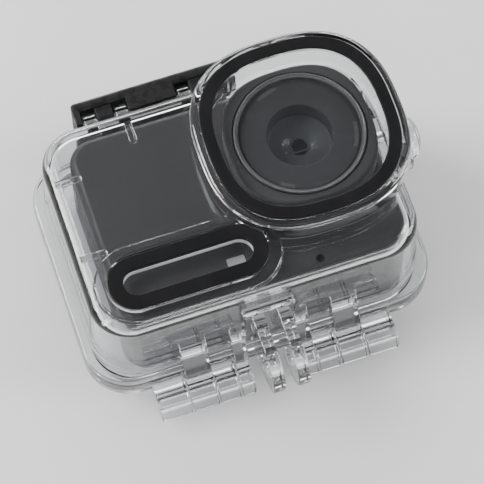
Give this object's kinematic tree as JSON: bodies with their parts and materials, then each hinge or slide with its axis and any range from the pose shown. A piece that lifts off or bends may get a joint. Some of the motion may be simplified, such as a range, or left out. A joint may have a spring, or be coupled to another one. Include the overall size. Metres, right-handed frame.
{
  "type": "action camera in a clear dive case",
  "caption": "Compact action camera with a square lens cover, sealed in a clear waterproof case with a flat lens port, display window, rear door, latch, push buttons and a two-prong mount.",
  "frame": {"origin": "centre of the rear door's flat back face, on which the case lies", "axes": "+X along the case towards the lens side, +Y from the hinge to the latch, +Z out of the lens"},
  "size_m": [0.0953, 0.0857, 0.0427],
  "materials": {
    "clear_polycarbonate": "clear polished moulding",
    "clear_glass": "flat polished glass",
    "black_bezel": "satin black ring",
    "black_latch": "fine matte moulding",
    "seal_silicone": "translucent grey silicone",
    "black_rubber": "matte",
    "camera_grey": "soft-touch dark grey",
    "camera_dark": "matte near-black",
    "screen_glass": "polished black",
    "lens_glass": "coated dark glass",
    "display_grey": "switched-off display",
    "stainless_steel": "turned and polished",
    "aluminium": "milled",
    "board_green": "lacquered circuit board",
    "battery_grey": "wrapped cell",
    "button_grey": "satin"
  },
  "bodies": {
    "rear_door": {"rear_door": "clear_polycarbonate", "door_seal": "seal_silicone", "hinge_pin_left": "clear_polycarbonate", "hinge_pin_right": "clear_polycarbonate"},
    "front_case": {"battery_door": "camera_dark", "battery_pack": "battery_grey", "camera_front_housing": "camera_grey", "camera_rear_cover": "camera_grey", "front_display": "display_grey", "front_display_window": "screen_glass", "front_lens_element": "lens_glass", "front_shell": "clear_polycarbonate", "heat_spreader": "aluminium", "image_sensor": "screen_glass", "latch_pin": "stainless_steel", "lens_barrel": "camera_dark", "lens_cover_frame": "camera_grey", "lens_cover_glass": "lens_glass", "lens_trim_ring": "camera_dark", "loudspeaker": "camera_dark", "main_board": "board_green", "memory_card": "camera_dark", "microphone": "aluminium", "port_bezel": "black_bezel", "port_glass": "clear_glass", "rear_lens_element": "lens_glass", "rear_screen_glass": "screen_glass", "sensor_board": "board_green", "shutter_button_collar": "clear_polycarbonate", "shutter_button_o_ring": "black_rubber", "shutter_button_spring": "stainless_steel", "side_button_collar": "clear_polycarbonate", "side_button_o_ring": "black_rubber", "side_button_spring": "stainless_steel", "usb_connector": "stainless_steel", "window_bezel": "black_bezel", "window_glass": "clear_glass"},
    "latch": {"latch_lever": "black_latch", "latch_hook": "black_latch"},
    "side_button": {"side_button_cap": "clear_polycarbonate", "side_button_stem": "stainless_steel"},
    "shutter_button": {"shutter_button_cap": "clear_polycarbonate", "shutter_button_stem": "stainless_steel"},
    "camera_power_button": {"camera_power_button": "button_grey"},
    "camera_shutter_button": {"camera_shutter_button": "button_grey"}
  },
  "joints": [
    {"name": "case_hinge", "type": "hinge", "parent": "rear_door", "child": "front_case", "pos_m": [0, -0.0361, 0.0054], "axis": [1, 0, 0], "range_deg": [0, 70]},
    {"name": "latch_hinge", "type": "hinge", "parent": "front_case", "child": "latch", "pos_m": [0, 0.0316, 0.0256], "axis": [1, 0, 0], "range_deg": [0, 70]},
    {"name": "side_button_press", "type": "slide", "parent": "front_case", "child": "side_button", "axis": [-1, 0, 0], "range_m": [0, 0.0012], "stiffness_N_per_m": 600, "springref_m": -0.001, "deforming": ["side_button_spring"]},
    {"name": "shutter_button_press", "type": "slide", "parent": "front_case", "child": "shutter_button", "axis": [0, -1, 0], "range_m": [0, 0.0012], "stiffness_N_per_m": 600, "springref_m": -0.001, "deforming": ["shutter_button_spring"]},
    {"name": "camera_power_press", "type": "slide", "parent": "front_case", "child": "camera_power_button", "axis": [-1, 0, 0], "range_m": [0, 0.0009]},
    {"name": "camera_shutter_press", "type": "slide", "parent": "front_case", "child": "camera_shutter_button", "axis": [0, -1, 0], "range_m": [0, 0.0009]}
  ],
  "couplings": [
    {"joint": "camera_power_press", "follows": "side_button_press", "ratio": 0.75},
    {"joint": "camera_shutter_press", "follows": "shutter_button_press", "ratio": 0.75}
  ]
}
